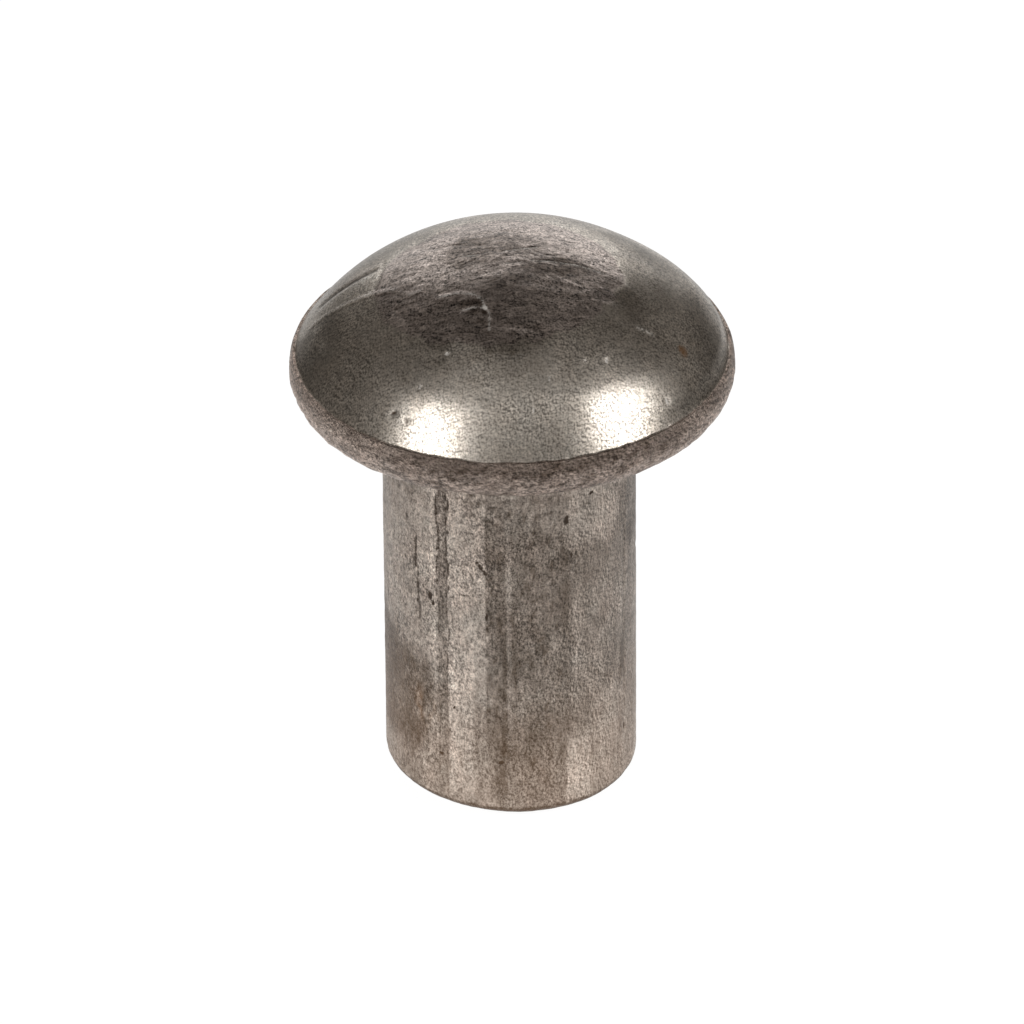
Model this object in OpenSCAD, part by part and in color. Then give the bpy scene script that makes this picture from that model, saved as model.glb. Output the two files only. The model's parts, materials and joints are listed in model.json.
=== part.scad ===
// Solid round-head rivet, cold-headed from drawn steel wire.
// It stands on the cropped end of its shank: the origin is the centre of that
// face, +Z runs up the shank to the crown of the head. Millimetres.

/* [Shank] */
// Diameter of the shank
shank_d = 8; // [4:0.1:12]
// Length of the shank, from its cropped end to the seat under the head
shank_len = 13.9; // [6:0.1:40]
// Radius that cropping leaves round the free end
end_edge_r = 0.4; // [0.1:0.05:1]
// Fillet where the shank meets the seat
neck_fillet_r = 0.3; // [0.1:0.05:0.8]

/* [Head] */
// Largest diameter of the head, at the widest line of its rim
head_d = 14; // [11:0.1:22]
// Height of the head, from the seat to the crown
head_h = 4.8; // [3:0.1:8]
// Height of the rim band, from the seat to the edge of the dome
rim_h = 1.25; // [0.9:0.05:1.8]
// Height of the rim's widest line above the seat
rim_widest_h = 0.75; // [0.4:0.05:1]
// Radius of the barrelled rim, in section
rim_barrel_r = 1.1; // [0.8:0.05:3]
// Flat land that the heading die leaves between the rim and the dome
die_land_w = 0.08; // [0.02:0.01:0.3]

/* [Hidden] */
$fn = 128;

shank_r = shank_d / 2;
head_r = head_d / 2;
seat_z = shank_len;
dome_edge_z = seat_z + rim_h;
crown_z = seat_z + head_h;

// Radius of the rim's section at a height above the seat
function rim_r(h) = head_r - rim_barrel_r + sqrt(pow(rim_barrel_r, 2) - pow(h - rim_widest_h, 2));

// The dome is a spherical cap that starts one land in from the rim's top edge
dome_edge_r = rim_r(rim_h) - die_land_w;
dome_h = crown_z - dome_edge_z;
dome_sphere_r = (pow(dome_edge_r, 2) + pow(dome_h, 2)) / (2 * dome_h);

// Half section of the shank, run up inside the head, with its free edge rounded
module shank_section() {
    difference() {
        square([shank_r, dome_edge_z]);
        difference() {
            translate([shank_r - end_edge_r, 0]) square(end_edge_r);
            translate([shank_r - end_edge_r, end_edge_r]) circle(end_edge_r);
        }
    }
}

// Half section of the concave fillet between the shank and the seat
module neck_fillet_section() {
    difference() {
        translate([shank_r - neck_fillet_r, seat_z - neck_fillet_r]) square(2 * neck_fillet_r);
        translate([shank_r + neck_fillet_r, seat_z - neck_fillet_r]) circle(neck_fillet_r);
    }
}

// Half section of the rim: a flat seat below, a flat land above and a barrelled side
module rim_section() {
    translate([0, seat_z]) intersection() {
        square([head_r, rim_h]);
        union() {
            square([head_r - rim_barrel_r, rim_h]);
            translate([head_r - rim_barrel_r, rim_widest_h]) circle(rim_barrel_r);
        }
    }
}

// Half section of the dome
module dome_section() {
    translate([0, dome_edge_z]) intersection() {
        square([dome_edge_r + die_land_w, dome_h]);
        translate([0, dome_h - dome_sphere_r]) circle(dome_sphere_r);
    }
}

module rivet() {
    color([0.50, 0.46, 0.42]) rotate_extrude() {
        shank_section();
        neck_fillet_section();
        rim_section();
        dome_section();
    }
}

rivet();
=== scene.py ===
import json
import math

import bpy
import numpy as np
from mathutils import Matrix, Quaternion, Vector


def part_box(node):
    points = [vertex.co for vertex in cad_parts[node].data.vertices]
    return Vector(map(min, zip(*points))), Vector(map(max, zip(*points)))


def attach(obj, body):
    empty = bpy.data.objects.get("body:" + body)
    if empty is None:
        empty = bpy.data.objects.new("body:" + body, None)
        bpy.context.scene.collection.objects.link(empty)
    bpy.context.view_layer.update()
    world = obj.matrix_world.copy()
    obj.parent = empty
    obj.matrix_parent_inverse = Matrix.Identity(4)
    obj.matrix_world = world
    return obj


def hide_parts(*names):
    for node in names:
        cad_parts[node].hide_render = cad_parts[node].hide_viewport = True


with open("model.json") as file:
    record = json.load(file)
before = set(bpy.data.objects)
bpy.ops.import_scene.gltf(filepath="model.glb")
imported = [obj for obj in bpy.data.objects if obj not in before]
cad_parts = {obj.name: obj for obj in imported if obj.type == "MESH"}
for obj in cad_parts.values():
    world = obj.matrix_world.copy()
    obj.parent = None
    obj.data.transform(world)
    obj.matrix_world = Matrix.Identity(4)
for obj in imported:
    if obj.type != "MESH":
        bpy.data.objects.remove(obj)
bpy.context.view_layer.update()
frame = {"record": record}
scene = bpy.context.scene

# View
# A long lens looks down on the standing rivet from the front, as in the photograph,
# and leans a little, so that the rivet's right side stands a touch higher.
MM = 0.001
ELEVATION = math.radians(32.27)
LEAN = math.radians(0.42)
LENS_TO_AIM = 336 * MM
AIM = Vector((0.08, 0, 9.07)) * MM
PIXELS_PER_MM = 31.61
IMAGE_PIXELS = 1024

camera = bpy.data.objects.new("camera", bpy.data.cameras.new("camera"))
scene.collection.objects.link(camera)
camera.data.sensor_width = 36
camera.data.lens = PIXELS_PER_MM / MM * LENS_TO_AIM * camera.data.sensor_width / IMAGE_PIXELS
camera.data.clip_start = 0.01
towards_lens = Vector((0, -math.cos(ELEVATION), math.sin(ELEVATION)))
camera.location = AIM + towards_lens * LENS_TO_AIM
camera.rotation_mode = "QUATERNION"
camera.rotation_quaternion = (-towards_lens).to_track_quat("-Z", "Y") @ Quaternion((0, 0, 1), -LEAN)
scene.camera = camera

# Section of the rivet
# The rivet is one piece of steel, cold-headed from drawn wire. Its skin is a closed surface of
# revolution, so its half section comes first, in millimetres, as rings from the cropped end up.
mount = {m["name"]: m for m in frame["record"]["mounts"]}
shank_r = mount["shank"]["dims"]["r_mm"]
seat_z = mount["head_seat"]["pos_m"][2] / MM
crown_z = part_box("rivet")[1].z / MM
HEAD_R = 7.0
END_EDGE_R = 0.42
NECK_R = 0.3
RIM_H = 1.25
RIM_WIDEST_H = 0.75
RIM_BARREL_R = 1.1
DIE_LAND_W = 0.08
TURNS = 336


def line(start, end, rings):
    """Rings (r, z, normal r, normal z) spaced evenly from start to end; the normal is on the right."""
    start, step = np.array(start), np.subtract(end, start)
    way = step / np.hypot(*step)
    points = start + np.linspace(0, 1, rings)[:, None] * step
    return np.hstack([points, np.tile((way[1], -way[0]), (rings, 1))])


def arc(centre, radius, first, last, rings, hollow=False):
    """Rings at equal angles round a centre, in degrees from +r towards +z. The normal points away
    from the centre, or towards it where the arc is hollow."""
    angle = np.radians(np.linspace(first, last, rings))
    way = np.stack([np.cos(angle), np.sin(angle)], 1)
    return np.hstack([np.array(centre) + radius * way, -way if hollow else way])


rim_mid = (HEAD_R - RIM_BARREL_R, seat_z + RIM_WIDEST_H)
rim_low = math.degrees(math.asin(-RIM_WIDEST_H / RIM_BARREL_R))
rim_top = math.degrees(math.asin((RIM_H - RIM_WIDEST_H) / RIM_BARREL_R))
rim_seat_r = rim_mid[0] + RIM_BARREL_R * math.cos(math.radians(rim_low))
rim_top_r = rim_mid[0] + RIM_BARREL_R * math.cos(math.radians(rim_top))
dome_edge_r = rim_top_r - DIE_LAND_W
dome_edge_z = seat_z + RIM_H
dome_h = crown_z - dome_edge_z
dome_r = (dome_edge_r**2 + dome_h**2) / (2 * dome_h)
dome_edge = math.degrees(math.acos(dome_edge_r / dome_r))

stretches = {
    "end": line((0.25, 0), (shank_r - END_EDGE_R, 0), 14),
    "edge": arc((shank_r - END_EDGE_R, END_EDGE_R), END_EDGE_R, -80, -10, 8),
    "shank": line((shank_r, END_EDGE_R), (shank_r, seat_z - NECK_R), 132),
    "neck": arc((shank_r + NECK_R, seat_z - NECK_R), NECK_R, 168, 102, 5, hollow=True),
    "seat": line((shank_r + NECK_R, seat_z), (rim_seat_r, seat_z), 8),
    "rim": arc(rim_mid, RIM_BARREL_R, rim_low + 4, rim_top, 18),
    "land": line((rim_top_r - DIE_LAND_W / 2, dome_edge_z), (dome_edge_r, dome_edge_z), 2),
    "dome": arc((0, crown_z - dome_r), dome_r, dome_edge + 0.4, 89.5, 106),
}
rings = np.vstack(list(stretches.values()))
zone = np.repeat(list(stretches), [len(s) for s in stretches.values()])
ring_r, ring_z, normal_r, normal_z = (column[:, None] for column in rings.T)

# The turn runs from the back, round the left side to the front at 0, and round the right side
turn = np.linspace(-180, 180, TURNS, endpoint=False)[None]
across, ahead = np.sin(np.radians(turn)), -np.cos(np.radians(turn))
plain = np.stack(np.broadcast_arrays(ring_r * across, ring_r * ahead, ring_z), -1)
relief = np.zeros(plain.shape[:2])
marks = {name: np.zeros(plain.shape[:2]) for name in ("torn", "tone", "stain_and_shade", "bright", "rust")}


def smooth(first, last, value):
    """0 before first, 1 after last, and an S-curve between them."""
    t = np.clip((value - first) / (last - first), 0, 1)
    return t * t * (3 - 2 * t)


def lumps(points, cell, seed):
    """Noise from -1 to 1: a random height at each corner of a lattice of cells of this size, in
    millimetres, blended smoothly across each cell."""
    heights = np.random.default_rng(seed).uniform(-1, 1, 8192)
    place = points / np.array(cell)
    corner = np.floor(place).astype(np.int64)
    share = place - corner
    share = share * share * (3 - 2 * share)
    total = 0
    for step in np.ndindex(2, 2, 2):
        key = (corner + step) * (73856093, 19349663, 83492791)
        weight = np.prod(np.where(step, share, 1 - share), -1)
        total = total + weight * heights[(key[..., 0] ^ key[..., 1] ^ key[..., 2]) % 8192]
    return total


def rough(points, cell, seed, layers=3):
    """Lumps of one size with finer lumps on them, each layer half as big and half as high."""
    scales = [0.5**k for k in range(layers)]
    return sum(s * lumps(points, np.array(cell) * s, seed + k) for k, s in enumerate(scales))


# Shank
# The shank is the drawn wire as it came from the die: fine lines and a few deeper grooves run
# along it, with pits, scratches, rubbed strokes, lighter and darker streaks and brown stains from the
# lubricant. The light streaks at its foot are painted highlights, for light the wire would mirror
# there.
on_shank = np.isin(zone, ("edge", "shank", "neck"))[:, None]
height = np.broadcast_to(ring_z, relief.shape)
GROOVES = (
    # heights up the shank, turns there, half width, depth, stain
    ((8.4, 10, 12.2), (-32.3, -32, -32.6), 0.21, 0.03, 0.34),
    ((5.3, 8.4), (-32.3, -32.3), 0.2, 0.03, 0.2),
    ((1.6, 5.5), (-31.5, -32.3), 0.16, 0.025, 0),
    ((6.6, 8, 10), (-45.5, -46.5, -48), 0.08, 0.03, 0.5),
    ((2.8, 11.2), (-10.9, -10.9), 0.05, 0.01, 0.25),
    ((2, 4.6), (-34.5, -35.5), 0.06, 0.02, 0.08),
    ((9.5, 12), (-61, -60), 0.06, 0.015, 0.35),
    ((8.9, 11.3), (1.3, 1.2), 0.05, 0.01, 0.3),
    ((3, 10), (63.5, 64), 0.07, 0.012, 0.3),
    ((1, 9), (118, 121), 0.16, 0.03, 0.1),
    ((4, 12.5), (-152, -150), 0.1, 0.025, 0.3),
    ((2, 8), (171, 172), 0.07, 0.02, 0.4),
)
PITS = (
    # turn, height, half width, half height, depth
    (-39, 7.85, 0.07, 0.13, 0.06),
    (-37.5, 7.6, 0.06, 0.07, 0.05),
    (-58, 7.0, 0.07, 0.08, 0.04),
    (-57.5, 7.9, 0.06, 0.06, 0.03),
    (-54, 10.35, 0.05, 0.18, 0.035),
    (-10.8, 7.58, 0.05, 0.08, 0.05),
    (26.5, 11.0, 0.08, 0.2, 0.05),
    (-26.5, 3.85, 0.05, 0.06, 0.05),
    (29.3, 9.65, 0.05, 0.08, 0.03),
    (40, 11.7, 0.07, 0.05, 0.05),
    (-4.5, 2.05, 0.08, 0.06, 0.05),
    (64, 2.1, 0.06, 0.12, 0.04),
    (-48, 3.85, 0.05, 0.05, 0.03),
    (-33, 1.9, 0.08, 0.07, 0.03),
    (140, 6, 0.1, 0.14, 0.04),
    (-170, 9.3, 0.1, 0.1, 0.04),
    (100, 3.4, 0.07, 0.12, 0.04),
)
SCRATCHES = (
    # from and to as turn and height, half width, depth
    ((-15.4, 9.62), (-11.4, 9.2), 0.06, 0.034),
    ((-11.9, 9.6), (-12.4, 9.45), 0.05, 0.015),
    ((-22, 8.27), (-17.5, 8.2), 0.065, 0.025),
    ((2, 1.27), (9, 1.25), 0.065, 0.025),
    ((28, 9.75), (31.5, 9.1), 0.065, 0.02),
    ((30, 8.9), (32.5, 7.4), 0.06, 0.015),
    ((5, 12.05), (24.9, 11.75), 0.05, 0.014),
    ((4, 12.3), (17, 12.15), 0.05, 0.01),
    ((-165, 4), (-158, 4.6), 0.07, 0.03),
    ((85, 8.2), (92, 7.7), 0.07, 0.03),
)
STREAKS = (
    # turns of its two sides, their softness, heights of its two ends, their softness, tone
    (-75, -36, 3, 6.4, 12.6, 0.8, 0.25),
    (-47, -34.8, 0.8, 8.4, 12.4, 0.8, 0.4),
    (-39.5, -34.8, 0.5, 5.2, 12.2, 0.6, 0.4),
    (-29, -11.2, 0.4, 4.8, 12.0, 0.8, 0.66),
    (-16, -11.2, 1.2, 5, 8.3, 0.8, -0.25),
    (-11.2, -1.7, 0.3, 2.8, 11.4, 0.6, -0.38),
    (-10.5, -1.7, 2, 0.7, 3, 0.8, -0.4),
    (-1.5, 0.3, 0.3, 2.6, 9.6, 0.6, 0.22),
    (-3.5, 2.5, 0.8, 8.4, 12.2, 0.6, 0.15),
    (-4, 3, 1.5, 2, 7, 0.8, -0.22),
    (0.4, 16, 1.5, 6.8, 11.4, 0.8, -0.38),
    (16, 28, 2, 6.8, 10.3, 0.6, -0.42),
    (0.4, 29, 3, 2.4, 6.8, 0.8, -0.34),
    (0.4, 25, 3, 0.7, 2.4, 0.8, -0.16),
    (22, 42, 3, 7, 9.9, 0.5, -0.22),
    (42, 58, 3, 4.4, 10, 0.6, -0.3),
    (29, 57, 2, 4, 12.4, 1.2, 0.05),
    (28, 57, 3, 9.9, 12.6, 0.4, 0.35),
    (59.5, 90, 0.6, 8.8, 11.2, 0.5, -0.3),
    (60, 64, 0.8, 3.9, 5.6, 0.5, -0.6),
    (66, 90, 3, 1, 12.5, 1, -0.3),
    (-20, 20, 6, 11.6, 14, 0.4, -0.16),
    # From here, the light streaks at the foot, from turn -29 to -17 and from 26 to 52, and the light
    # band below 1.9 from -47 to -10, are painted highlights
    (-29, -24.5, 0.5, 0.7, 5.4, 0.6, 0.65),
    (-29, -17, 0.5, 0.5, 5.2, 0.5, 0.7),
    (-36.6, -35.2, 0.4, 2.2, 9.5, 0.5, 0.4),
    (26, 38.5, 0.8, 0.4, 2.8, 0.5, 1.0),
    (38, 52, 2, 0.6, 3, 0.6, 0.35),
    (-47, -10, 3, 0.3, 1.9, 0.5, 0.3),
    (95, 118, 3, 2, 11, 1.5, -0.35),
    (122, 136, 0.8, 1, 9, 1.5, 0.5),
    (150, 168, 4, 4, 12, 1.5, -0.3),
    (-150, -128, 1, 1, 10, 1.5, 0.45),
    (-120, -98, 3, 3, 12, 1.5, -0.25),
)
# Turn, height, half width and half height
BROWN_STAIN = (-79, 3.7, 2.45, 2.2)
RED_SPECKS = (-43, 3.5, 0.4, 0.5)
# Heights between which short strokes are strewn, and their lean from level in degrees
STROKES_ALONG = (0.8, 12, 90)
STROKES_BELOW_HEAD = (11.2, 13.6, 10)
STROKE_HALF_WIDTH = 0.05
STAINED_DEPTH = 0.04
SHANK_TONE = -0.15


def around(turn_from, turn_to):
    """Arc length between two turns on the shank, in millimetres."""
    return np.radians(turn_to - turn_from) * shank_r


def groove(heights, turns, half_width, depth, stain_and_shade):
    """A flat-bottomed channel along a wandering line, with ragged sides, which fades at its ends:
    its depth, its floor from 0 to 1, and the stain on its floor and, stronger, on its sides."""
    off = np.abs(around(np.interp(height, heights, turns), turn)) / half_width * (1 + 0.3 * wire_rag)
    ends = smooth(heights[0] - 0.5, heights[0] + 0.5, height)
    ends = ends * smooth(heights[-1] + 0.3, heights[-1] - 0.3, height)
    floor = smooth(1.1, 0.9, off) * ends
    sides = np.exp(-(((off - 1) / 0.25) ** 2)) * ends * (half_width > 0.1)
    return np.stack([depth * np.exp(-(off**4)) * ends, floor, stain_and_shade * floor + 0.35 * sides])


def oval(at, up, half_width, half_height):
    """Distance from the middle of an oval on the shank, counted so that its outline is at 1."""
    return np.hypot(around(at, turn) / half_width, (height - up) / half_height)


def pit(at, up, half_width, half_height, depth):
    """A bell-shaped hollow, with an outline that the steel's lumps make ragged."""
    return depth * np.exp(-(oval(at, up, half_width, half_height) ** 2) * (1 + 0.5 * wire_rag))


def stroke(px, pz, ex, ez, half_width):
    """A bell across a straight stretch from 0, 0 to ex, ez, from the distance of px, pz to it."""
    t = np.clip((px * ex + pz * ez) / (ex**2 + ez**2), 0, 1)
    return np.exp(-((px - t * ex) ** 2 + (pz - t * ez) ** 2) / half_width**2)


def scratch(start, end, half_width, depth):
    """A bell-shaped channel along a straight stretch between two places on the shank."""
    ex, ez = around(start[0], end[0]), end[1] - start[1]
    return depth * stroke(around(start[0], turn), height - start[1], ex, ez, half_width)


def strokes(seed, count, low, high, lean, radius):
    """Short strokes strewn round the axis between two heights, each at a chance angle about the lean,
    in degrees from level: a bell along each, taken only on the rings and turns near it."""
    chance = np.random.default_rng(seed)
    ats = chance.uniform(-170, 170, count)
    ups = chance.uniform(low, high, count)
    lengths = 0.1 + chance.exponential(0.14, count)
    angles = np.radians(chance.normal(lean, 30, count))
    total = np.zeros(relief.shape)
    for at, up, ex, ez in zip(ats, ups, lengths * np.cos(angles), lengths * np.sin(angles)):
        near_rings = np.flatnonzero(np.abs(ring_z[:, 0] - up) < 1.2)
        near_turns = np.flatnonzero(np.abs(turn[0] - at) < 15)
        px = np.radians(turn[:, near_turns] - at) * radius
        pz = ring_z[near_rings] - up
        total[np.ix_(near_rings, near_turns)] += stroke(px, pz, ex, ez, STROKE_HALF_WIDTH)
    return np.minimum(total, 1)


def streak(first, last, side, low, high, end, tone):
    """A lighter or darker stretch of the wire: full between two turns and two heights, with soft
    sides that wander a little and soft ends."""
    place = turn + 0.6 * wire_rag
    sides = smooth(first - side, first + side, place) * smooth(last + side, last - side, place)
    return tone * sides * smooth(low - end, low + end, height) * smooth(high + end, high - end, height)


# Relief is in millimetres. A tone of 1 is nearly the steel's light colour and -1 nearly its dark one.
wire_rag = rough(plain, (0.25, 0.25, 0.35), 3, 2)
drawn = 0.006 * lumps(plain, (0.5, 0.5, 12), 11) + 0.004 * lumps(plain, (0.16, 0.16, 5), 12)
drawn += 0.008 * lumps(plain, (1.7, 1.7, 3), 15) + 0.006 * rough(plain, (0.26, 0.26, 0.34), 16)
channels, channel_floors, channel_stains = sum(groove(*g) for g in GROOVES)
hollows = sum(pit(*p) for p in PITS) + sum(scratch(*s) for s in SCRATCHES)
streaks = sum(streak(*s) for s in STREAKS)
streaks = streaks + 0.15 * lumps(plain, (0.35, 0.35, 5), 21) + 0.1 * lumps(plain, (0.15, 0.15, 2.5), 23)
streaks = streaks + 0.22 * rough(plain, (1.1, 1.1, 1.5), 22)
streaks = streaks + 0.15 * rough(plain, (0.3, 0.3, 0.5), 24, 2)
rubbed = strokes(81, 700, *STROKES_ALONG, shank_r)
rubbed = rubbed + 1.5 * strokes(82, 450, *STROKES_BELOW_HEAD, shank_r)
dented = strokes(83, 700, *STROKES_ALONG, shank_r)
dented = dented + 1.5 * strokes(84, 400, *STROKES_BELOW_HEAD, shank_r)
brown_stain = smooth(1.3, 0.75, oval(*BROWN_STAIN) + 0.22 * rough(plain, (0.9, 0.9, 1.3), 26))
red_specks = np.exp(-(oval(*RED_SPECKS) ** 2)) * smooth(-0.2, 0.6, wire_rag)
streaks = streaks + 0.4 * rubbed - 0.45 * dented - 0.85 * brown_stain
# Painted shade along the foot of the shank, darker towards the floor, for the contact shadow that the
# rounded edge mirrors; it goes into the mark for stains and shade.
painted_foot_shade = 0.6 * smooth(0.5, 0.25, height)
relief += on_shank * (drawn - channels - hollows + 0.004 * (rubbed - dented))
marks["tone"] += on_shank * (SHANK_TONE + streaks - 0.12 * channel_floors)
marks["stain_and_shade"] += on_shank * np.clip(channel_stains + hollows / STAINED_DEPTH + painted_foot_shade, 0, 1)
marks["rust"] += on_shank * (0.15 * smooth(6, 1, height) + 0.4 * red_specks + 0.05 * brown_stain)

# Head
# The head is the wire's end, upset in a round die. The die burnished the dome, but the crown keeps the
# torn face of the cropped wire, pressed flat with its flakes, creases and scuffs.
on_dome = (zone == "dome")[:, None]
CROWN_RISE = 0.04
# Rise of the flanks all round, towards the right and towards the back
FLANK_RISE = (0.06, 0.02, -0.03)
RIGHT_SWELL = 0.09
TORN_MID = (-0.45, -0.75)
TORN_HALF = (3.8, 3.15)
TORN_STEP = 0.012
FLAKE_H = 0.025
FLAKE_HALF_WIDTH = 0.06
SHADE_BESIDE_FLAKE = (-0.03, -0.13)
SHADE_HALF_WIDTH = 0.08
SCORE_HALF_WIDTH = 0.055
FLAKES = (
    # ridges of torn steel, as points across and ahead from the head's middle
    ((-2.3, -1.95), (-1.65, -1.96), (-1.2, -2.1), (-0.95, -2.3), (-0.68, -2.95), (-0.7, -3.5)),
    ((-1.55, -2.67), (-1.15, -2.58), (-0.8, -2.7)),
    ((3.84, -2.52), (4.3, -2.49)),
    ((-6.24, 0.26), (-5.05, -0.27), (-4.05, -0.68), (-3.6, -0.92)),
    ((-3.15, -1.46), (-2.8, -1.42)),
)
SCORES = (
    # bright scores across the crown
    ((-1.55, -0.1), (-1.05, -0.11)),
    ((-0.32, -0.06), (0.82, 0.22)),
    ((-0.14, -0.73), (0.4, -0.67)),
    ((0.13, 0.92), (0.56, 1.02)),
    ((0.6, -0.57), (1.95, -0.55), (3.0, -0.68)),
)
CREASES = (
    # folds, painted darker as shade, their half width and depth
    (((-5.9, 1.15), (-5.3, 1.05), (-4.28, 0.9)), 0.14, 0.032),
    (((1.0, -2.35), (1.77, -2.18), (2.62, -1.9), (3.2, -1.85)), 0.09, 0.008),
    (((-0.6, -3.55), (0.1, -3.4), (0.4, -3.28)), 0.08, 0.01),
    (((-3.62, -1.86), (-3.08, -2.68), (-1.91, -3.48), (-1.4, -3.55)), 0.1, 0.015),
    (((-2.45, 0.76), (-1.64, 0.71), (-1.31, 1.1), (-0.18, 1.34), (0.41, 1.0)), 0.06, 0.012),
    (((-2.94, 2.33), (-2.91, 1.1)), 0.06, 0.01),
    (((-4.25, -0.3), (-4.05, 0.5), (-4.0, 1.3)), 0.07, 0.012),
)
HOLLOWS = (
    # middle across and ahead, half length, half width, depth
    (-1.9, -2.9, 1.15, 0.6, 0.045),
    (-1.25, -2.33, 0.3, 0.2, 0.035),
    (0.2, -3.72, 0.6, 0.22, 0.035),
    (0.8, -3.4, 0.35, 0.18, 0.02),
)
PATCHES = (
    # middle across and ahead, half length, half width, tone
    (-3.35, 0.75, 0.95, 1.35, 0.15),
    (2.0, 1.1, 1.6, 1.7, 0.25),
    (-0.8, 0.3, 1.55, 1.0, -0.75),
    (-1.9, -2.9, 1.2, 0.75, -0.4),
    (-1.25, -2.38, 0.36, 0.22, -0.9),
    (0.3, -3.6, 1.0, 0.35, -0.35),
    # The next two lighten the left flank: painted reflection.
    (-5.2, 0.35, 1.0, 0.3, 0.4),
    (-4.9, 0.3, 1.2, 1.0, 0.6),
    (0.2, 2.7, 2.8, 0.8, 0.3),
)
NICKS = (
    # bright nicks: middle across and ahead, half length and half width
    (-1.99, -4.03, 0.07, 0.05),
    (2.89, -4.01, 0.05, 0.1),
    (2.22, -4.23, 0.06, 0.06),
    (1.15, -4.92, 0.05, 0.08),
    (0.64, -5.73, 0.06, 0.08),
    (4.75, -4.26, 0.07, 0.1),
    (-2.85, -4.7, 0.07, 0.06),
    (2.6, 5.1, 0.1, 0.14),
    (-4.4, 3.2, 0.14, 0.08),
)
SPECKS = (
    # dark pits: middle across and ahead, half length and half width
    (-3.65, -5.04, 0.12, 0.07),
    (-3.28, -5.34, 0.07, 0.1),
    (-3.02, -5.93, 0.08, 0.08),
    (2.08, 2.99, 0.12, 0.14),
    (1.58, 1.6, 0.07, 0.09),
    (1.99, 1.4, 0.07, 0.09),
    (1.73, 0.13, 0.09, 0.16),
    (-4.6, 4.2, 0.12, 0.1),
    (3.4, -0.3, 0.07, 0.07),
)
# Edges of the crown's facets, painted lighter and darker as reflection: places across, or ahead for the
# right facet, and where the edge is there
DARK_FACE = (
    (-3.2, -1.5, -0.9, 0.44, 1.65, 3.1, 3.8, 4.4),
    (-2.6, -2.2, -1.75, -0.62, -0.3, -0.6, -1.1, -1.7),
)
LEFT_FACE = ((-6.6, -6.24, -5.05, -4.05, -3.6), (0.45, 0.26, -0.27, -0.68, -0.92))
RIGHT_FACE = ((-1.4, -0.3, 0.6, 1.6, 2.4), (3.75, 3.5, 3.35, 3.2, 2.7))
BANDS = (
    # lighter bands on the flanks, painted reflection: points across and ahead, half width, tone
    (((-6.4, 0.4), (-5.8, 0.35), (-4.4, 0.3)), 0.26, 1.0),
    (((4.3, 3.3), (5.1, 2.3), (5.75, 1.2), (6.2, 0.2)), 0.5, 0.9),
)
SCUFFS = 260
SCUFF_HALF_WIDTH = 0.045
RUST_SPOT = (5.21, -2.42, 0.13, 0.16)
head_x, head_y = plain[..., 0], plain[..., 1]


def along(path, half_width):
    """A bell across a line of straight stretches: 1 on the line, falling away on both sides."""
    near = np.full(head_x.shape, np.inf)
    for (ax, ay), (bx, by) in zip(path, path[1:]):
        ex, ey = bx - ax, by - ay
        t = np.clip(((head_x - ax) * ex + (head_y - ay) * ey) / (ex**2 + ey**2), 0, 1)
        near = np.minimum(near, np.hypot(head_x - ax - t * ex, head_y - ay - t * ey))
    return np.exp(-((near / half_width) ** 2))


def spot(x, y, half_length, half_width, rag=0.5):
    """1 inside an oval, 0 outside, with a soft outline that the torn steel's lumps make ragged."""
    reach = np.hypot((head_x - x) / half_length, (head_y - y) / half_width)
    return smooth(1.35, 0.65, reach * (1 + rag * 0.5 * torn_rag))


def scuffs(seed):
    """Short strokes strewn over the torn face, most of them across it: a bell along each."""
    chance = np.random.default_rng(seed)
    reach = np.sqrt(chance.uniform(0, 1, SCUFFS))
    side = chance.uniform(0, 2 * np.pi, SCUFFS)
    length = 0.08 + chance.exponential(0.14, SCUFFS)
    lean = chance.normal(0, 0.6, SCUFFS)
    x = TORN_MID[0] + TORN_HALF[0] * reach * np.cos(side)
    y = TORN_MID[1] + TORN_HALF[1] * reach * np.sin(side)
    ends = np.stack([x, y, x + length * np.cos(lean), y + length * np.sin(lean)], -1)
    return sum(along(pair, SCUFF_HALF_WIDTH) for pair in ends.reshape(-1, 2, 2).tolist())


torn_rag = rough(plain, 0.7, 31)
torn_reach = np.hypot((head_x - TORN_MID[0]) / TORN_HALF[0], (head_y - TORN_MID[1]) / TORN_HALF[1])
torn = on_dome * smooth(1.02, 0.98, torn_reach + 0.05 * torn_rag)
drift = np.stack([0.5 * lumps(plain, 1.6, 33 + k) for k in range(3)], -1)
wrinkles = 0.012 * lumps(plain + drift, (1.5, 0.5, 1.5), 37)
wrinkles += 0.005 * lumps(plain + drift, (0.6, 0.16, 0.6), 38)
wrinkles += 0.02 * lumps(plain, 1.7, 39)
folds = sum(depth * along(path, half_width) for path, half_width, depth in CREASES)
dips = sum(depth * spot(*place) for *place, depth in HOLLOWS)
flakes = sum(along(path, FLAKE_HALF_WIDTH) for path in FLAKES)
painted_flake_shadows = sum(along((np.array(path) + SHADE_BESIDE_FLAKE).tolist(), SHADE_HALF_WIDTH) for path in FLAKES)
scores = sum(along(path, SCORE_HALF_WIDTH) for path in SCORES)
nicks = sum(spot(*n) for n in NICKS)
specks = sum(spot(*s) for s in SPECKS)
patches = sum(tone * spot(*place, 1) for *place, tone in PATCHES)
flank_rise = FLANK_RISE[0] + FLANK_RISE[1] * across + FLANK_RISE[2] * ahead
rise = CROWN_RISE + (flank_rise - CROWN_RISE) * smooth(0, 3.5, ring_r)
rise = rise * smooth(dome_edge_r, dome_edge_r * 0.8, ring_r)
swell = smooth(0.5, 1, across) * smooth(4.8, 6.2, ring_r) * smooth(dome_edge_r, 6.4, ring_r)
rise = rise + RIGHT_SWELL * swell
relief += on_dome * (rise - folds - dips + FLAKE_H * flakes)
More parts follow.
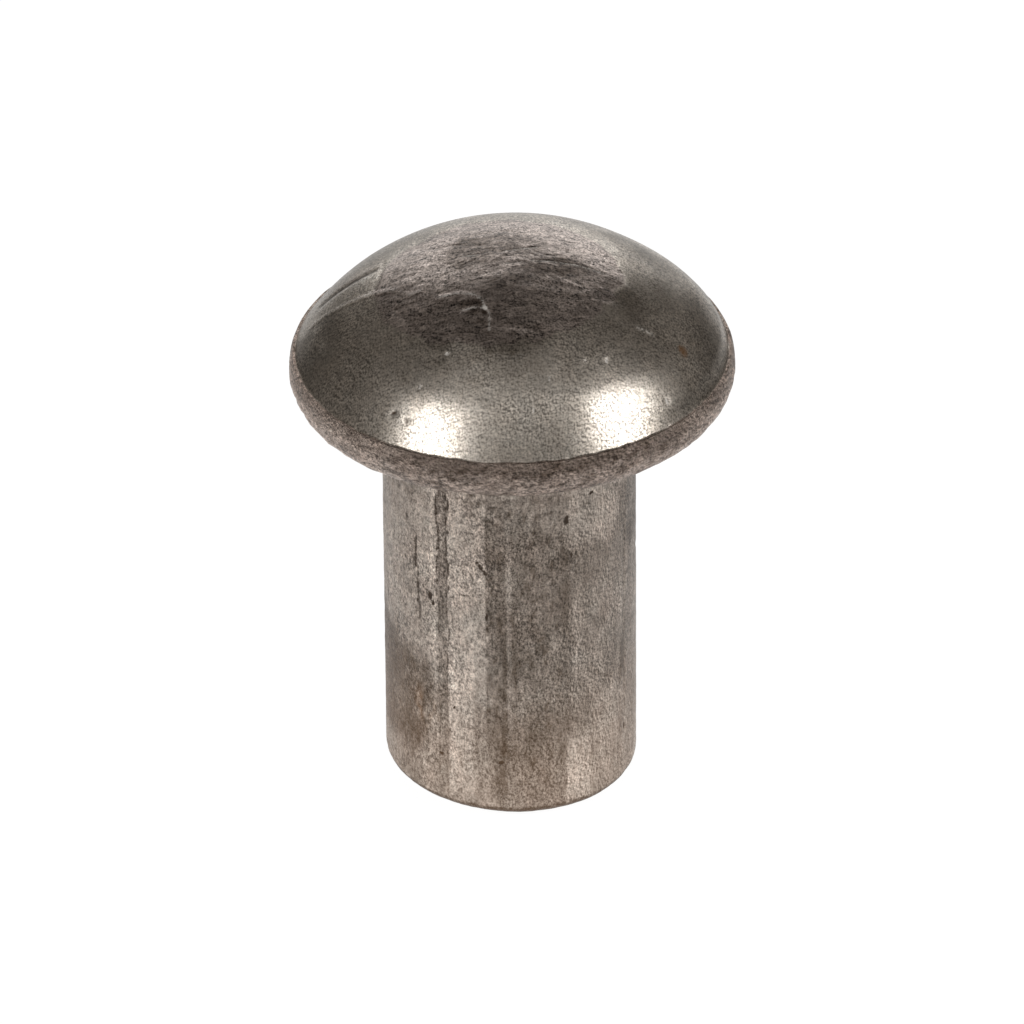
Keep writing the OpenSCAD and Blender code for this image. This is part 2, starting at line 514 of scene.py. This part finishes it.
relief += torn * (wrinkles - TORN_STEP) - on_dome * (0.012 * scores + 0.015 * nicks + 0.012 * specks)
marks["torn"] += torn
face_edge = np.interp(head_x + 0.15 * torn_rag, *DARK_FACE) + 0.1 * torn_rag
dark_face = smooth(face_edge + 0.06, face_edge - 0.1, head_y)
dark_face = dark_face * smooth(face_edge - 1.9, face_edge - 0.5, head_y)
dark_face = dark_face * smooth(-1.6, -0.4, head_x) * smooth(4.4, 3.6, head_x)
left_edge = np.interp(head_x, *LEFT_FACE) + 0.05 * torn_rag
left_face = smooth(left_edge - 0.05, left_edge + 0.08, head_y)
left_face = left_face * smooth(left_edge + 2.2, left_edge + 1.2, head_y)
left_face = left_face * smooth(-3.5, -4, head_x)
right_edge = np.interp(head_y, *RIGHT_FACE) + 0.12 * torn_rag
right_face = smooth(right_edge - 0.05, right_edge + 0.08, head_x) * smooth(6.2, 4.2, head_x)
right_face = right_face * smooth(-1.8, -0.9, head_y) * smooth(3.4, 2.2, head_y)
light_scuffs, dark_scuffs = scuffs(71), scuffs(72)
painted_flank_bands = sum(tone * along(path, half_width) for path, half_width, tone in BANDS) * (1 + 0.3 * torn_rag)
# Painted reflection: the left face is painted lighter, the dark face and the right face darker, and the
# bands on the flanks lighter, for the brighter and dimmer places they would mirror.
painted_facets = 0.62 * left_face - 0.75 * dark_face - 0.4 * right_face
marks["tone"] += on_dome * (patches + painted_flank_bands + painted_facets + 0.25 * rough(plain, 1.4, 61))
scuffed = 0.42 * light_scuffs - 0.3 * dark_scuffs
marks["tone"] += torn * (scuffed + 0.2 * lumps(plain + drift, (0.9, 0.2, 0.9), 62))
relief += torn * 0.005 * (light_scuffs - dark_scuffs)
# The flakes are brightened partly as their own torn steel and partly as a painted highlight along each
# ridge; the scores and nicks are bare steel.
marks["bright"] += on_dome * np.clip(0.52 * flakes + 0.5 * scores + 0.6 * nicks, 0, 1)
# Painted shade in the creases and painted shadows beside the flakes, with the dark pits, go into the
# mark for stains and shade.
marks["stain_and_shade"] += on_dome * np.clip(0.35 * folds / 0.02 + 0.4 * painted_flake_shadows + 0.5 * specks, 0, 1)
marks["rust"] += on_dome * 0.7 * spot(*RUST_SPOT, 1)

# Rim
# The rim is the steel that swelled out between the die and the seat with nothing to shape it, so it is
# lumpy and full of short ridges and folds. A strip under the dome's edge is smoother, and darker partly
# in its own colour and partly as painted reflection of the dim surroundings. The rim is also painted
# darker towards the front and at its lower edge, as painted reflection and shade, and lighter on the
# land.
on_rim = np.isin(zone, ("seat", "rim", "land"))[:, None]
on_land = (zone == "land")[:, None]
RIM_TONE = 0.75
# Turns round the rim and how much its colour is darkened at each: painted reflection, darkest at the
# front, which faces the lens.
RIM_TURNS = (-180, -110, -75, -20, 30, 62, 110, 180)
RIM_PAINTED_SHADE = (0.6, 0.4, 0, 1, 1, 0.58, 0.4, 0.6)
RIDGED_H, FOLDED_H = 0.85, 0.95
RIM_STROKE_LEAN = 5

rim_up = ring_z - seat_z
upper_strip = smooth(0.86, 0.95, rim_up + 0.04 * wire_rag)
lower_edge = smooth(0.3, 0.08, rim_up)
ridges = strokes(85, 900, seat_z, seat_z + RIDGED_H, RIM_STROKE_LEAN, HEAD_R)
folded = strokes(86, 700, seat_z, seat_z + FOLDED_H, RIM_STROKE_LEAN, HEAD_R)
swelled = 0.016 * rough(plain, (0.6, 0.6, 0.3), 45) + 0.02 * lumps(plain, (0.3, 0.3, 0.17), 49)
relief += on_rim * (swelled * (1 - 0.6 * upper_strip) + 0.01 * (ridges - folded))
relief += on_land * 0.03 * lumps(plain, 0.22, 57)
# Painted shade and reflection: the rim's colour is darker towards the front, in the upper strip and at
# the lower edge, and painted lighter on the land, over the dark line it mirrors.
painted_rim_shade = np.interp(turn, RIM_TURNS, RIM_PAINTED_SHADE)
painted_rim_shade = painted_rim_shade * (1.14 + 0.2 * upper_strip + 0.1 * lower_edge - 0.6 * on_land)
marks["tone"] += on_rim * (RIM_TONE - painted_rim_shade + 0.55 * ridges - 0.4 * folded)
marks["tone"] += on_rim * 0.3 * rough(plain, (0.8, 0.8, 0.25), 53)

# Skin
# Ring by ring the section is turned round the axis, the end's edge is rolled over where the wire
# was cropped, the head is set off the axis as the die left it, and the relief is pushed outwards.
HEAD_OFF_AXIS = 0.12
HEAD_TILT = math.radians(0.25)
ROLL_OVER = 0.15
RAMP_R = 2.6
roll_over = ROLL_OVER * (1 - across)
rolled = np.where(
    zone[:, None] == "end",
    smooth(RAMP_R, shank_r - END_EDGE_R, ring_r),
    smooth(seat_z, END_EDGE_R, ring_z),
)
off_axis = HEAD_OFF_AXIS * smooth(seat_z - 1.2, seat_z, ring_z)
skin_r = ring_r + relief * normal_r
skin_z = ring_z + relief * normal_z + rolled * roll_over
skin_z = skin_z + HEAD_TILT * skin_r * across * smooth(seat_z - 0.3, seat_z, ring_z)
skin_grid = np.stack([skin_r * across + off_axis, skin_r * ahead, skin_z], -1)
poles = np.array([(0, 0, 0), (HEAD_OFF_AXIS, 0, skin_z[-1].mean())])


def turned_faces(rings, turns):
    """Faces of a surface turned round an axis: four-sided ones between its rings, and a fan of
    triangles from the first ring to the pole that follows the rings' points."""
    index = np.arange(rings * turns).reshape(rings, turns)
    right = np.roll(index, -1, 1)
    quads = np.stack([index[:-1], right[:-1], right[1:], index[1:]], -1).reshape(-1, 4)
    foot = np.stack([np.full(turns, rings * turns), right[0], index[0]], -1)
    return quads.tolist(), foot.tolist(), index, right


quads, foot, index, right = turned_faces(len(rings), TURNS)
top = np.stack([index[-1], right[-1], np.full(TURNS, index.size + 1)], -1).tolist()
skin = bpy.data.meshes.new("rivet_skin")
skin.from_pydata((np.vstack([skin_grid.reshape(-1, 3), poles]) * MM).tolist(), [], quads + foot + top)
skin.polygons.foreach_set("use_smooth", np.ones(len(skin.polygons), bool))
ring_finish = {"end": 3, "edge": 0, "shank": 0, "neck": 0, "seat": 1, "rim": 1, "land": 1, "dome": 2}
quad_finish = np.repeat([ring_finish[z] for z in zone[1:]], TURNS)
finishes = np.concatenate([quad_finish, np.full(TURNS, 3), np.full(TURNS, 2)])
skin.polygons.foreach_set("material_index", finishes.astype(np.int32))

# The edges round the land and the seat are crisp
edge_ends = np.empty(len(skin.edges) * 2, np.int32)
skin.edges.foreach_get("vertices", edge_ends)
edge_rings = edge_ends.reshape(-1, 2) // TURNS
rim_rings = np.flatnonzero(zone == "rim")
crisp_rings = (rim_rings[0], rim_rings[-1], np.flatnonzero(zone == "dome")[0])
crisp = (edge_rings[:, 0] == edge_rings[:, 1]) & np.isin(edge_rings[:, 0], crisp_rings)
skin.attributes.new("sharp_edge", "BOOLEAN", "EDGE").data.foreach_set("value", crisp)
for name, field in marks.items():
    values = np.append(np.clip(field, -1, 1), (0, field[-1].mean()))
    skin.attributes.new(name, "FLOAT", "POINT").data.foreach_set("value", values.astype(np.float32))
rivet = bpy.data.objects.new("rivet_skin", skin)
scene.collection.objects.link(rivet)
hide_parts("rivet")
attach(rivet, "root")

# Finishes
# Bare steel all over, in four finishes: the drawn shank, the rough rim, the burnished dome and
# the cropped end. Each has its own colours, sheen and grain, and the marks on the skin change them.


def put(tree, kind, inputs=(), **settings):
    """Adds a node, sets it up, and gives each input a value or a link from another node's output."""
    made = tree.nodes.new(kind)
    for name, value in settings.items():
        setattr(made, name, value)
    for socket, value in dict(inputs).items():
        if isinstance(value, bpy.types.NodeSocket):
            tree.links.new(value, made.inputs[socket])
        else:
            made.inputs[socket].default_value = value
    return made


def noise(tree, cell, stretch=(1, 1, 1), detail=2.0, fine=0.6, aside=0.0):
    """Noise on the rivet's own coordinates, with lumps of about this many millimetres, and finer ones
    on them, each layer as strong as fine says, moved this many millimetres aside and up."""
    place = put(tree, "ShaderNodeTexCoord").outputs["Object"]
    moved = [aside * MM / s for s in stretch]
    placing = {"Vector": place, "Location": moved, "Scale": [1 / s for s in stretch]}
    place = put(tree, "ShaderNodeMapping", placing).outputs[0]
    sized = {"Vector": place, "Scale": 1 / (cell * MM), "Detail": detail, "Roughness": fine}
    return put(tree, "ShaderNodeTexNoise", sized).outputs[0]


def mix(tree, share, first, second):
    """The first colour where share is 0 and the second where it is 1."""
    return put(tree, "ShaderNodeMix", {0: share, 6: first, 7: second}, data_type="RGBA").outputs[2]


def spread(tree, value, low, high, first=0.3, last=0.7):
    """Maps first to last onto low to high, and goes on beyond them."""
    ends = {"Value": value, "From Min": first, "From Max": last, "To Min": low, "To Max": high}
    return put(tree, "ShaderNodeMapRange", ends, clamp=False).outputs[0]


def mark(tree, name):
    """One of the skin's marks."""
    return put(tree, "ShaderNodeAttribute", attribute_name=name).outputs["Fac"]


def more(tree, value, factor, rest):
    """The value times a factor, added to the rest."""
    terms = {0: value, 1: factor, 2: rest}
    return put(tree, "ShaderNodeMath", terms, operation="MULTIPLY_ADD").outputs[0]


def worms(tree, lumps, level):
    """1 along the winding lines where the noise is near this level, and 0 elsewhere."""
    return put(tree, "ShaderNodeMath", {0: lumps, 1: level, 2: 0.02}, operation="COMPARE").outputs[0]


TORN_LIGHT, TORN_DARK = (0.56, 0.49, 0.45, 1), (0.1, 0.08, 0.066, 1)
TORN_SHEEN = 0.34
GRAIN_FLOOR = 0.42
STAIN_AND_SHADE, BRIGHT, RUST = (0.07, 0.052, 0.04, 1), (0.72, 0.69, 0.65, 1), (0.4, 0.21, 0.09, 1)


def steel(name, light, warm, dark, sheen, grain, grain_h, contrast, painted_relief, stretch=(1, 1, 1), lined=0):
    """Steel between a dark and a light colour, as the tone mark says, with the light one drifting to a
    warm one. Its grain has this size and height in millimetres: contrast darkens its hollows, raised
    paints light on one side of each lump and shade on the other, as if lit from one side, and lined
    adds fine lines along the wire. The marks on the skin then darken it with stains and painted shade,
    or brighten, rust or tear it. sheen is the roughness of the shader."""
    made = bpy.data.materials.new(name)
    made.use_nodes = True
    tree = made.node_tree
    shader = tree.nodes["Principled BSDF"]
    shader.inputs["Metallic"].default_value = 1
    share = more(tree, mark(tree, "tone"), 0.45, 0.5)
    lights = mix(tree, spread(tree, noise(tree, 0.7, stretch), 0, 1), light, warm)
    colour = mix(tree, share, dark, lights)
    colour = mix(tree, mark(tree, "torn"), colour, mix(tree, share, TORN_DARK, TORN_LIGHT))

    fine = noise(tree, grain, stretch)
    coarse = noise(tree, grain * 5, stretch)
    speckle = more(tree, fine, contrast, -0.5 * contrast)
    # Painted light and shade: each lump is lighter on one side and darker on the other, as if lit from
    # one side.
    speckle = more(tree, noise(tree, 2 * grain, stretch), painted_relief, speckle)
    speckle = more(tree, noise(tree, 2 * grain, stretch, aside=0.7 * grain), -painted_relief, speckle)
    amount = spread(tree, noise(tree, 1.6, stretch), 0.6, 1.4)
    speckle = more(tree, speckle, amount, more(tree, coarse, 0.3 * contrast, 1 - 0.15 * contrast))
    if lined:
        speckle = more(tree, coarse, -0.2 * lined, speckle)
        speckle = more(tree, noise(tree, 0.09, (1, 1, 12)), lined, speckle)
        speckle = more(tree, noise(tree, 0.3, (1, 1, 3)), -0.8 * lined, speckle)
    speckle = put(tree, "ShaderNodeMath", {0: speckle, 1: GRAIN_FLOOR}, operation="MAXIMUM").outputs[0]
    torn_lines = noise(tree, 0.11, (3, 1, 1), 3, 0.75)
    torn_winding = noise(tree, 0.5, (2, 1, 1), 3, 0.6)
    torn_speckle = more(tree, torn_lines, 1.8, -0.9)
    # Light winding lines with darker ones beside them on the torn face: a painted highlight and painted
    # shade, as on the edges of torn flakes.
    torn_speckle = more(tree, worms(tree, torn_winding, 0.5), 0.4, torn_speckle)
    torn_speckle = more(tree, worms(tree, torn_winding, 0.45), -0.3, torn_speckle)
    speckle = more(tree, torn_speckle, mark(tree, "torn"), speckle)
    grained = {0: colour, "Scale": speckle}
    colour = put(tree, "ShaderNodeVectorMath", grained, operation="SCALE").outputs[0]

    rag = noise(tree, 0.12, stretch, 3, 0.7)
    # Stains and painted shade from the skin's marks darken the colour here.
    stained_and_shaded = spread(tree, more(tree, rag, 1, mark(tree, "stain_and_shade")), 0, 1, 0.8, 1.1)
    colour = mix(tree, stained_and_shaded, colour, STAIN_AND_SHADE)
    # Bare steel and the painted highlight along the flakes lighten the colour here.
    brightened = spread(tree, more(tree, rag, 0.9, mark(tree, "bright")), 0, 1, 0.75, 1.1)
    colour = mix(tree, brightened, colour, BRIGHT)
    colour = mix(tree, mark(tree, "rust"), colour, RUST)
    tree.links.new(colour, shader.inputs["Base Color"])
    sheens = spread(tree, mark(tree, "torn"), sheen + 0.1, TORN_SHEEN + 0.1, 0, 1)
    sheens = more(tree, fine, -0.2, sheens)
    sheens = more(tree, mark(tree, "bright"), 0.5, sheens)
    tree.links.new(sheens, shader.inputs["Roughness"])
    heights = more(tree, more(tree, torn_lines, 2, torn_winding), mark(tree, "torn"), fine)
    bump = {"Height": heights, "Distance": grain_h * MM, "Strength": 1.0}
    tree.links.new(put(tree, "ShaderNodeBump", bump).outputs[0], shader.inputs["Normal"])
    return made


for finish in (
    steel(
        "drawn_shank",
        light=(0.605, 0.537, 0.472, 1),
        warm=(0.62, 0.523, 0.452, 1),
        dark=(0.09, 0.068, 0.051, 1),
        sheen=0.46,
        grain=0.05,
        grain_h=0.03,
        contrast=1.6,
        painted_relief=2.0,
        stretch=(1, 1, 1.5),
        lined=0.4,
    ),
    steel(
        "headed_rim",
        light=(0.6, 0.505, 0.445, 1),
        warm=(0.6, 0.485, 0.418, 1),
        dark=(0.08, 0.057, 0.042, 1),
        sheen=0.46,
        grain=0.055,
        grain_h=0.05,
        contrast=1.5,
        painted_relief=2.4,
        stretch=(1.25, 1.25, 0.9),
    ),
    steel(
        "burnished_dome",
        light=(0.7, 0.65, 0.585, 1),
        warm=(0.68, 0.615, 0.54, 1),
        dark=(0.12, 0.1, 0.078, 1),
        sheen=0.32,
        grain=0.06,
        grain_h=0.002,
        contrast=2.7,
        painted_relief=1.2,
    ),
    steel(
        "cropped_end",
        light=(0.5, 0.43, 0.38, 1),
        warm=(0.48, 0.41, 0.35, 1),
        dark=(0.06, 0.045, 0.035, 1),
        sheen=0.42,
        grain=0.16,
        grain_h=0.03,
        contrast=1.5,
        painted_relief=0,
        stretch=(4, 0.6, 1),
    ),
):
    skin.materials.append(finish)

# Floor and light
# White paper, swept up to a far wall, two soft boxes above the rivet's left and right, a dimmer panel
# above the lens and a pale card behind the rivet, which the crown mirrors. The room is dim.
PAPER_FIRST_R, PAPER_FLAT_R, PAPER_SWEEP_R = 0.3, 3.0, 0.35
PAPER_GAP = 0.02 * MM
PAPER_TURNS = 64
PAPER = (0.35, 0.34, 0.33, 1)
PAPER_SEEN = 0.96
PAPER_SHADE = (0.12, 0.12, 0.12, 1)
# Radii and levels of the pool of light painted into the paper's glow, which the steel mirrors
BRIGHT_R, DIM_R = 0.006, 0.065
STRIP_BACK = 0.3
POOL_LEVEL, STRIP_LEVEL = 0.4, 0.6
ROOM = (0.16, 0.147, 0.135, 1)
LAMP_DISTANCE = 0.6
LAMPS = {
    # direction from the rivet, width and height in metres, watts, roll in degrees
    "left_box": ((-0.59, -0.55, 0.59), (0.2, 0.18), 1.04, 25),
    "right_box": ((0.743, -0.353, 0.568), (0.25, 0.22), 1.24, -40),
    "front_panel": ((-0.03, -0.5, 0.86), (0.6, 0.44), 0.3, 0),
}
CARD_DISTANCE = 0.5
CARD_MIDDLE = 0.01
CARD_SIZE = (0.5, 0.4)
CARD_WATTS = 0.64

paper_section = np.vstack([
    line((PAPER_FIRST_R, 0), (PAPER_FLAT_R, 0), 2),
    arc((PAPER_FLAT_R, PAPER_SWEEP_R), PAPER_SWEEP_R, -80, 0, 9),
])
paper_turn = np.radians(np.linspace(0, 360, PAPER_TURNS, endpoint=False))[None]
paper_r, paper_z = paper_section[:, :1], paper_section[:, 1:2] - PAPER_GAP
paper_grid = np.broadcast_arrays(paper_r * np.cos(paper_turn), paper_r * np.sin(paper_turn), paper_z)
paper_points = np.vstack([np.stack(paper_grid, -1).reshape(-1, 3), (0, 0, -PAPER_GAP)])
quads, foot, _, _ = turned_faces(len(paper_section), PAPER_TURNS)
paper = bpy.data.meshes.new("floor")
paper.from_pydata(paper_points.tolist(), [], quads + foot)
floor = bpy.data.objects.new("floor", paper)
scene.collection.objects.link(floor)

# The lens sees the paper white, with a faint shadow. So does the steel, within a pool of light painted
# into the paper's glow round the rivet and in a strip towards the back.
white = bpy.data.materials.new("paper")
white.use_nodes = True
tree = white.node_tree
tree.nodes.clear()
path = put(tree, "ShaderNodeLightPath").outputs
place = put(tree, "ShaderNodeTexCoord").outputs["Object"]
back = put(tree, "ShaderNodeSeparateXYZ", {0: place}).outputs["Y"]
back = put(tree, "ShaderNodeClamp", {"Value": back, "Min": 0, "Max": STRIP_BACK}).outputs[0]
back = put(tree, "ShaderNodeCombineXYZ", {"Y": back}).outputs[0]
painted_pool = 0
for middle, level in (((0, 0, 0), POOL_LEVEL), (back, STRIP_LEVEL)):
    ends = {0: place, 1: middle}
    distance = put(tree, "ShaderNodeVectorMath", ends, operation="DISTANCE").outputs["Value"]
    fade = {"Value": distance, "From Min": DIM_R, "From Max": BRIGHT_R, "To Max": level}
    fade = put(tree, "ShaderNodeMapRange", fade, interpolation_type="SMOOTHSTEP").outputs[0]
    painted_pool = put(tree, "ShaderNodeMath", {0: fade, 1: painted_pool}, operation="ADD").outputs[0]
mirrored = {0: path["Is Glossy Ray"], 1: path["Is Transmission Ray"]}
mirrored = put(tree, "ShaderNodeMath", mirrored, operation="MAXIMUM").outputs[0]
pale = {0: mirrored, 1: painted_pool, 2: path["Is Camera Ray"]}
pale = put(tree, "ShaderNodeMath", pale, operation="MULTIPLY_ADD", use_clamp=True).outputs[0]
lit = put(tree, "ShaderNodeBsdfDiffuse", {"Color": PAPER}).outputs[0]
seen = put(tree, "ShaderNodeEmission", {"Strength": PAPER_SEEN}).outputs[0]
shade = put(tree, "ShaderNodeBsdfDiffuse", {"Color": PAPER_SHADE}).outputs[0]
seen = put(tree, "ShaderNodeAddShader", {0: seen, 1: shade}).outputs[0]
surface = put(tree, "ShaderNodeMixShader", {0: pale, 1: lit, 2: seen}).outputs[0]
put(tree, "ShaderNodeOutputMaterial", {"Surface": surface})
white.cycles.emission_sampling = "NONE"
paper.materials.append(white)

world = bpy.data.worlds.new("room")
scene.world = world
world.use_nodes = True
world.node_tree.nodes["Background"].inputs["Color"].default_value = ROOM


def lamp(name, place, size, watts, roll=0):
    """A soft rectangular light at a place, turned to the rivet's middle and rolled about its beam."""
    made = bpy.data.objects.new(name, bpy.data.lights.new(name, "AREA"))
    made.data.shape = "RECTANGLE"
    made.data.size, made.data.size_y = size
    made.data.energy = watts
    made.location = place
    made.rotation_mode = "QUATERNION"
    facing = (AIM - Vector(place)).to_track_quat("-Z", "Y")
    made.rotation_quaternion = facing @ Quaternion((0, 0, 1), math.radians(roll))
    scene.collection.objects.link(made)


for name, (way, size, watts, roll) in LAMPS.items():
    lamp(name, Vector(way).normalized() * LAMP_DISTANCE, size, watts, roll)
lamp("back_card", (CARD_MIDDLE, CARD_DISTANCE, CARD_SIZE[1] / 2), CARD_SIZE, CARD_WATTS)

scene.view_settings.view_transform = "Standard"
